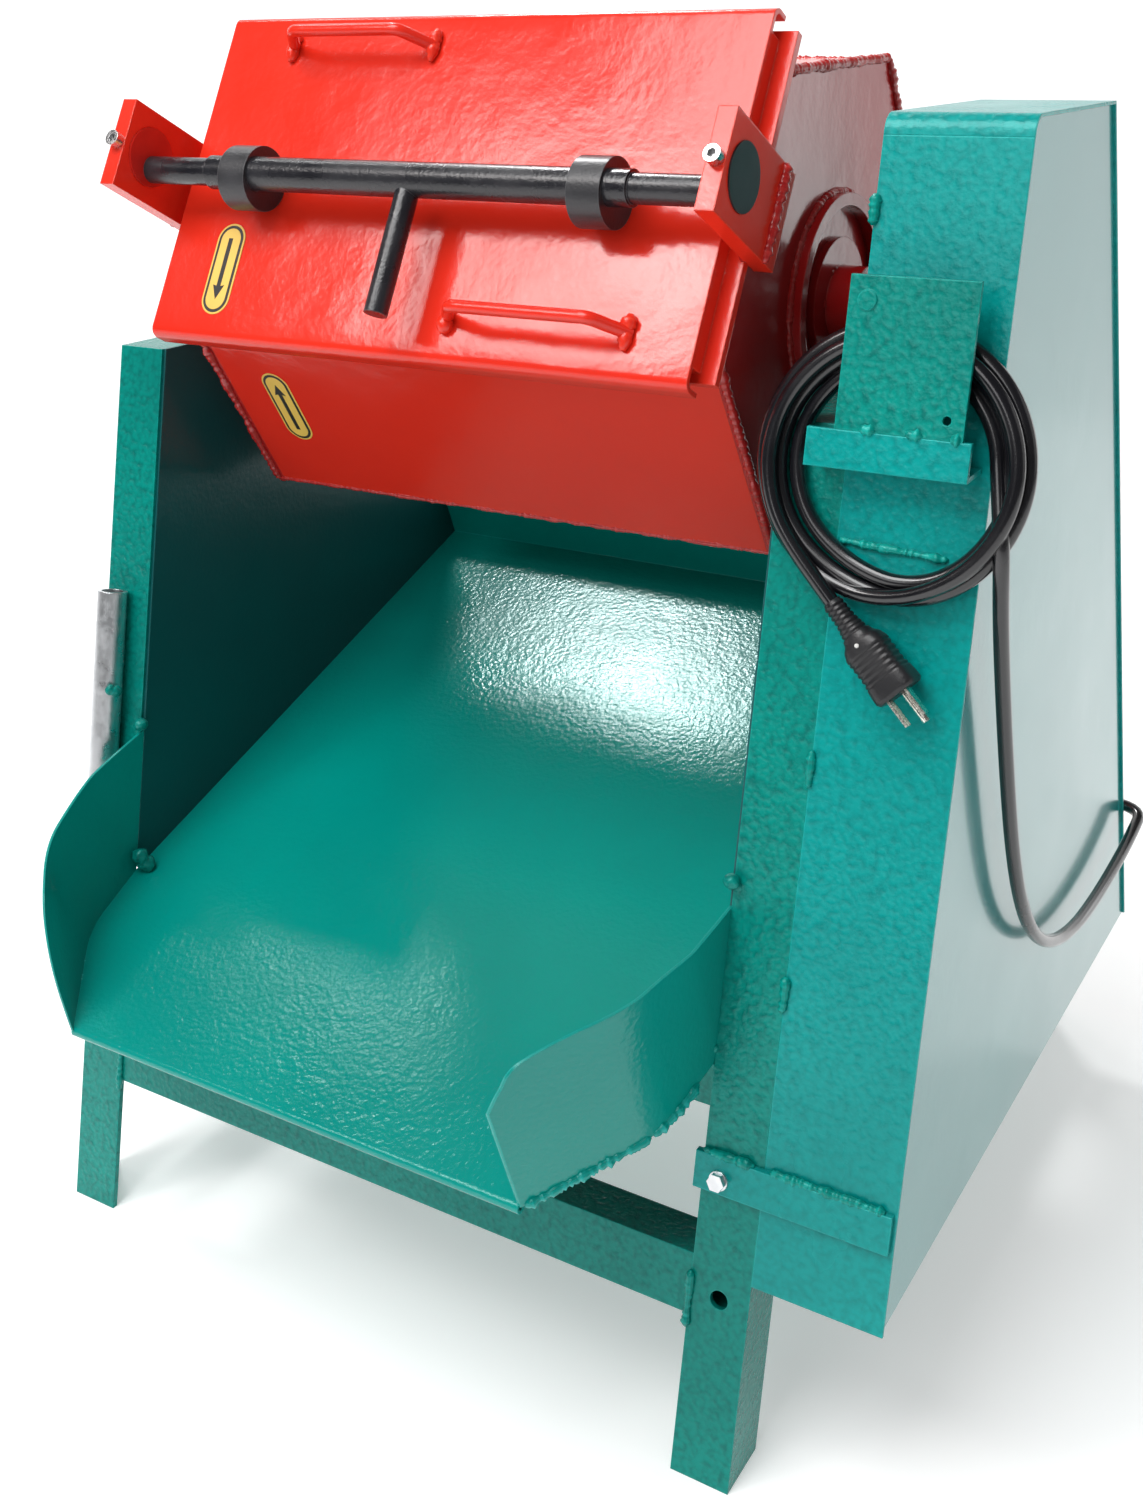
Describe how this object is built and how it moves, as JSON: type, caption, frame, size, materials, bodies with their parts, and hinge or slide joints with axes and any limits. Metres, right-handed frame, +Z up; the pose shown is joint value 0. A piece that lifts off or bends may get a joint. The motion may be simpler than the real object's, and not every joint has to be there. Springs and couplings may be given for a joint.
{
  "type": "hexagonal drum tumbler",
  "caption": "Hexagonal drum tumbler on a splayed stand, with a cam-clamped lid, discharge chute, belt guard and coiled supply cord.",
  "frame": {"origin": "on the floor, in the middle of the footprint box of the machine without its cord", "axes": "+Z up, -Y towards the operator and the chute's lip, +X towards the belt guard"},
  "size_m": [0.6795, 0.7492, 0.876],
  "materials": {
    "hammered_green": "hammered enamel",
    "chute_green": "gloss enamel",
    "guard_green": "gloss enamel",
    "drum_red": "gloss enamel",
    "clamp_black": "satin paint",
    "galvanised": "zinc coated",
    "bright_steel": "turned",
    "cast_iron": "painted casting",
    "motor_grey": "satin paint",
    "belt_rubber": "matt",
    "cord_black": "gloss sheath"
  },
  "bodies": {
    "root": {"bearing_housings": "cast_iron", "chute_floor": "chute_green", "chute_rail": "hammered_green", "cord_coil": "cord_black", "cord_gland": "cord_black", "drive_belt": "belt_rubber", "fan_cover": "motor_grey", "frame_bolts": "galvanised", "front_rail": "hammered_green", "gearbox": "motor_grey", "guard_back": "guard_green", "guard_front": "guard_green", "guard_inner": "guard_green", "guard_side": "guard_green", "guard_top": "guard_green", "hanger_bar": "hammered_green", "hanger_plate": "hammered_green", "left_cheek": "chute_green", "left_front_post": "hammered_green", "left_rear_post": "hammered_green", "low_side_rails": "hammered_green", "low_strip": "hammered_green", "motor_base": "hammered_green", "motor_body": "motor_grey", "pipe_socket": "galvanised", "plug_body": "cord_black", "plug_pins": "bright_steel", "rear_rails": "hammered_green", "right_cheek": "chute_green", "right_front_post": "hammered_green", "right_rear_post": "hammered_green", "side_sheets": "chute_green", "supply_cord": "cord_black", "top_rails": "hammered_green"},
    "drum": {"left_end_plate": "drum_red", "right_end_plate": "drum_red", "mouth_flange": "drum_red", "end_rings": "drum_red", "shaft_hubs": "drum_red", "stub_shafts": "bright_steel", "bearing_inner_rings": "bright_steel", "clamp_ears": "drum_red", "ear_screws": "bright_steel", "drum_pulley": "cast_iron", "barrel_panel_1": "drum_red", "barrel_panel_2": "drum_red", "barrel_panel_3": "drum_red", "barrel_panel_4": "drum_red", "barrel_panel_5": "drum_red"},
    "clamp": {"clamp_bar": "clamp_black", "journal_bushes": "clamp_black", "cam_collars": "clamp_black", "clamp_grip": "clamp_black"},
    "lid": {"lid_plate": "drum_red", "lid_gasket": "belt_rubber", "upper_lid_handle": "drum_red", "lower_lid_handle": "drum_red"},
    "output": {"output_shaft": "bright_steel", "drive_pulley": "cast_iron"},
    "rotor": {"motor_rotor": "bright_steel"}
  },
  "joints": [
    {"name": "drum_spin", "type": "hinge", "parent": "root", "child": "drum", "pos_m": [-0.042, 0.0146, 0.6919], "axis": [1, 0, 0], "continuous": true},
    {"name": "clamp_turn", "type": "hinge", "parent": "drum", "child": "clamp", "pos_m": [-0.042, -0.16581, 0.78571], "axis": [-1, 0, 0], "range_deg": [0, 120]},
    {"name": "lid_lift", "type": "slide", "parent": "drum", "child": "lid", "axis": [0, -0.878, 0.4787], "range_m": [0, 0.0105]},
    {"name": "output_spin", "type": "hinge", "parent": "root", "child": "output", "pos_m": [-0.042, 0.0226, 0.222], "axis": [1, 0, 0], "continuous": true},
    {"name": "rotor_spin", "type": "hinge", "parent": "root", "child": "rotor", "pos_m": [-0.042, 0.0226, 0.222], "axis": [1, 0, 0], "continuous": true}
  ],
  "couplings": [
    {"joint": "lid_lift", "follows": "clamp_turn", "m_per_rad": 0.005},
    {"joint": "output_spin", "follows": "drum_spin", "ratio": 1.875},
    {"joint": "rotor_spin", "follows": "drum_spin", "ratio": 28.125}
  ]
}
